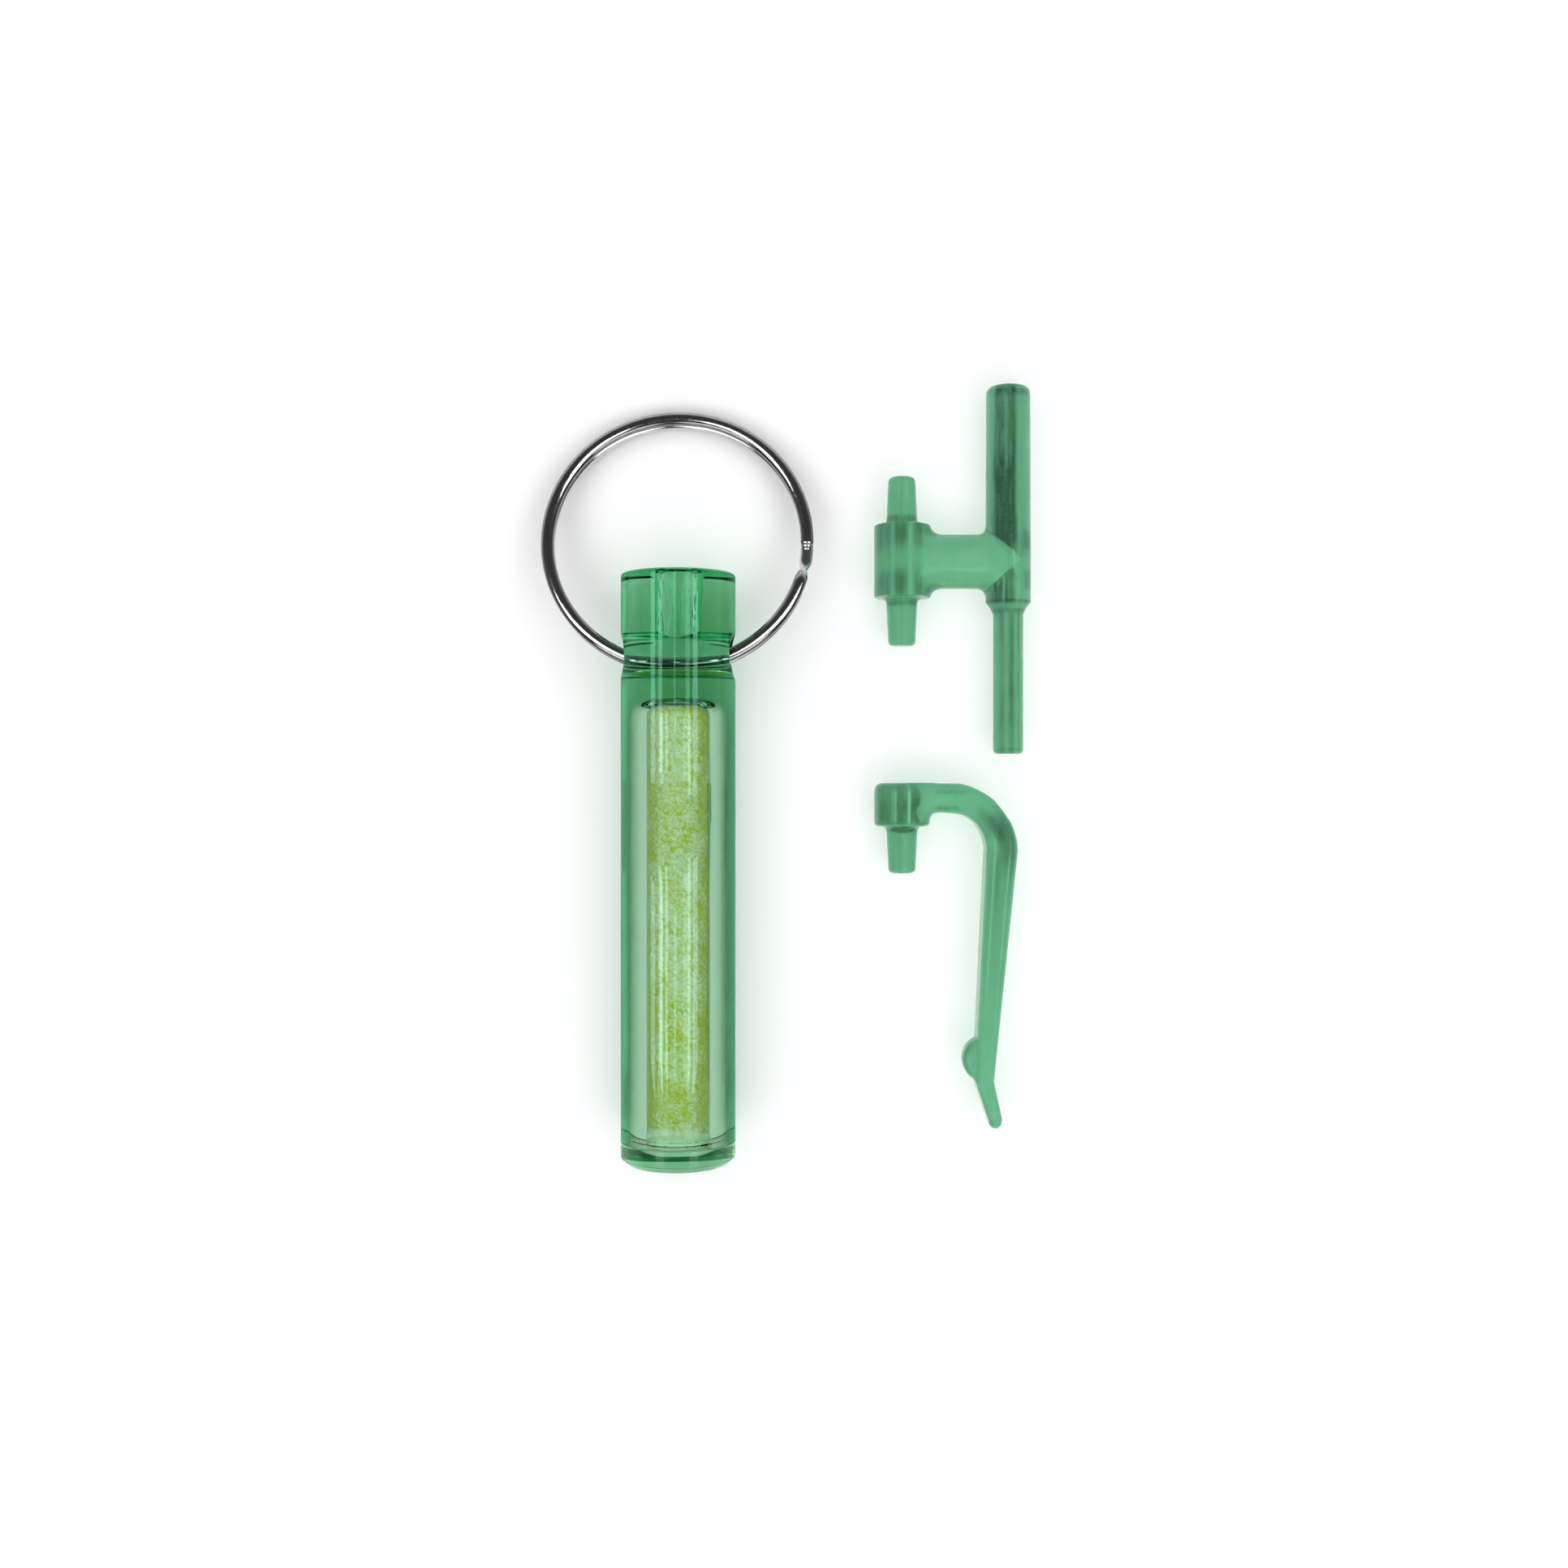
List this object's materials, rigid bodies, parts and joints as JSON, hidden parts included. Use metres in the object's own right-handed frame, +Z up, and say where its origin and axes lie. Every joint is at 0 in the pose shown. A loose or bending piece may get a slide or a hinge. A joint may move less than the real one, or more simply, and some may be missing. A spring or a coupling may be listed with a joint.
{
  "type": "luminous marker fob kit",
  "caption": "Transparent green luminous marker fob on a split ring, with its plug-in stem connector and pocket clip laid beside it.",
  "frame": {"origin": "middle of the whole layout, on the surface that it lies on", "axes": "+X right, +Y along the marker towards its ring, +Z up"},
  "size_m": [0.0452, 0.071, 0.0104],
  "materials": {
    "green_clear": "transparent green, polished",
    "cap_green": "transparent green, polished",
    "adhesive": "clear cured adhesive",
    "vial_glass": "clear",
    "glow_fill": "granular photoluminescent",
    "pad_fibre": "pale fibre",
    "ring_steel": "nickel plated",
    "green_satin": "translucent green, moulded"
  },
  "bodies": {
    "marker": {"housing": "green_clear", "end_cap": "cap_green", "bond_seam": "adhesive", "glass_vial": "vial_glass", "luminous_core": "glow_fill", "seating_pad": "pad_fibre"},
    "key_ring": {"split_ring": "ring_steel"},
    "connector": {"stem_connector": "green_satin"},
    "clip": {"pocket_clip": "green_satin"}
  },
  "joints": [
    {"name": "ring_swing", "type": "hinge", "parent": "marker", "child": "key_ring", "pos_m": [-0.00985, 0.01032, 0.0052], "axis": [1, 0, 0], "range_deg": [-149, 171]},
    {"name": "connector_lift", "type": "slide", "parent": "marker", "child": "connector", "axis": [0, 0, 1], "range_m": [0, 0.03]},
    {"name": "clip_lift", "type": "slide", "parent": "marker", "child": "clip", "axis": [0, 0, 1], "range_m": [0, 0.03]}
  ]
}
